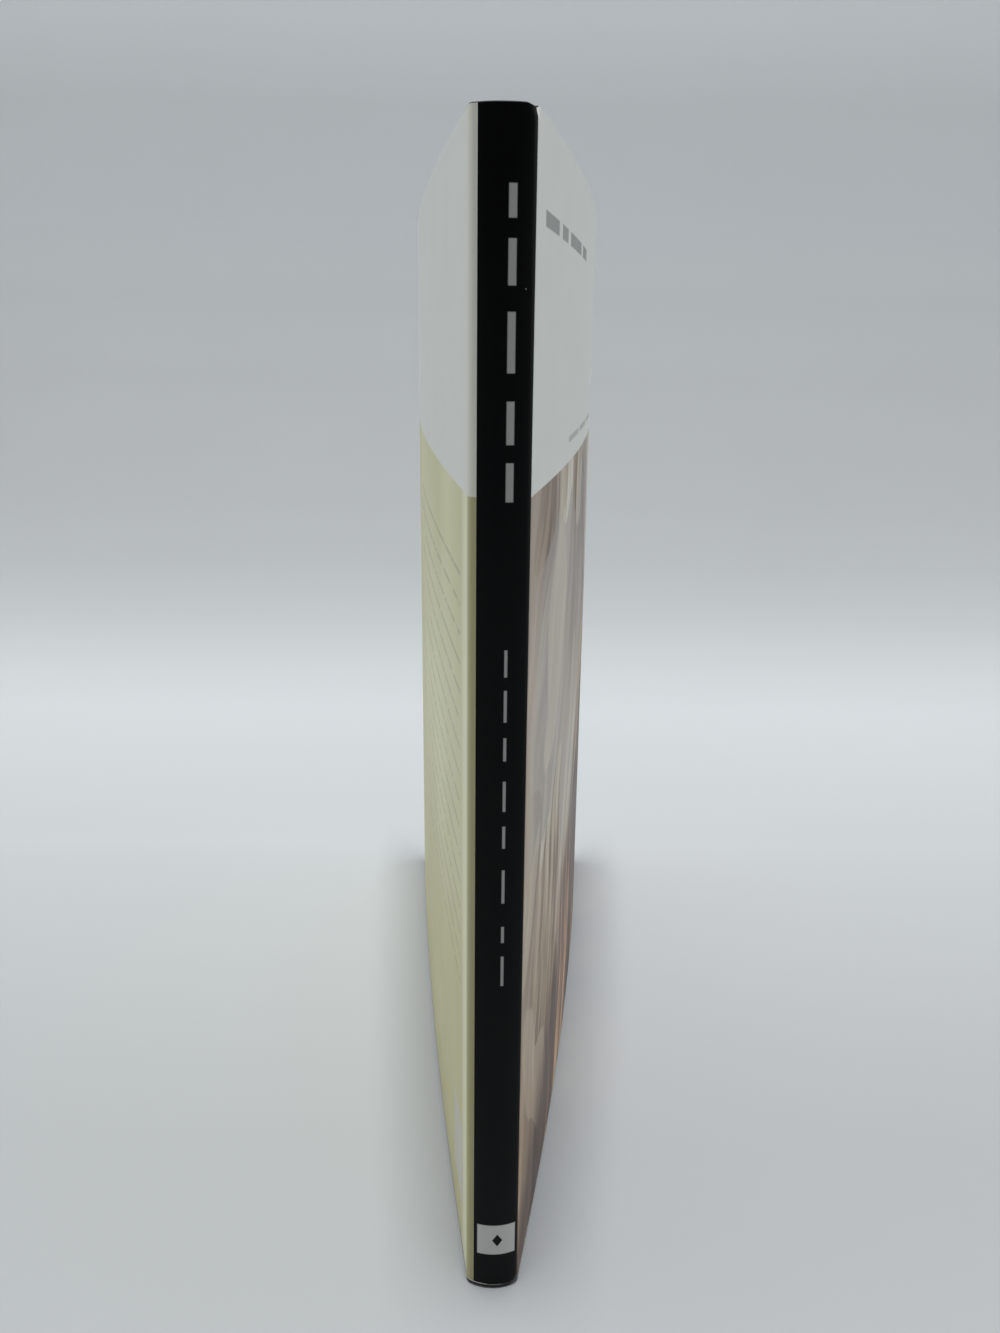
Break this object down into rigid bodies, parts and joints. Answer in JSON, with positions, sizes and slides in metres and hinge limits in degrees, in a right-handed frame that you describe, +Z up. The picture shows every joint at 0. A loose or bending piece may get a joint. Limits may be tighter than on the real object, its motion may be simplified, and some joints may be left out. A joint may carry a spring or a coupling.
{
  "type": "coffee table book",
  "caption": "Thin hardcover picture book in a laminated dust jacket, standing on its tail with both covers ajar.",
  "frame": {"origin": "on the standing surface, under the middle of the book's bounding box", "axes": "+Z up the height of the book, +Y from the spine to the fore-edge, +X towards the front cover"},
  "size_m": [0.0584, 0.1971, 0.23],
  "materials": {
    "pages": "coated paper, cut edges",
    "endpaper": "uncoated paper, matt",
    "mull": "open cotton gauze, glued",
    "band": "woven band",
    "lining": "brown kraft paper",
    "card": "grey card",
    "board": "grey binder's board",
    "case_paper": "dark embossed paper, matt",
    "jacket_black": "printed paper, satin laminate",
    "jacket_front_print": "printed paper, satin laminate",
    "jacket_back_print": "printed paper, satin laminate"
  },
  "bodies": {
    "pages_and_spine": {"text_block": "pages", "front_flyleaf": "endpaper", "back_flyleaf": "endpaper", "mull_spine": "mull", "headband": "band", "tailband": "band", "spine_lining": "lining", "spine_card": "card", "case_spine": "case_paper", "jacket_spine": "jacket_black"},
    "front_cover": {"front_board": "board", "case_front": "case_paper", "mull_front": "mull", "front_pastedown": "endpaper", "jacket_front": "jacket_front_print"},
    "back_cover": {"back_board": "board", "case_back": "case_paper", "mull_back": "mull", "back_pastedown": "endpaper", "jacket_back": "jacket_back_print"}
  },
  "joints": [
    {"name": "front_cover_hinge", "type": "hinge", "parent": "pages_and_spine", "child": "front_cover", "pos_m": [0.00481, -0.09514, 0], "axis": [0, 0, -1], "range_deg": [-7.2, 167.8]},
    {"name": "back_cover_hinge", "type": "hinge", "parent": "pages_and_spine", "child": "back_cover", "pos_m": [-0.00649, -0.09514, 0], "axis": [0, 0, 1], "range_deg": [-6.7, 168.3]}
  ]
}
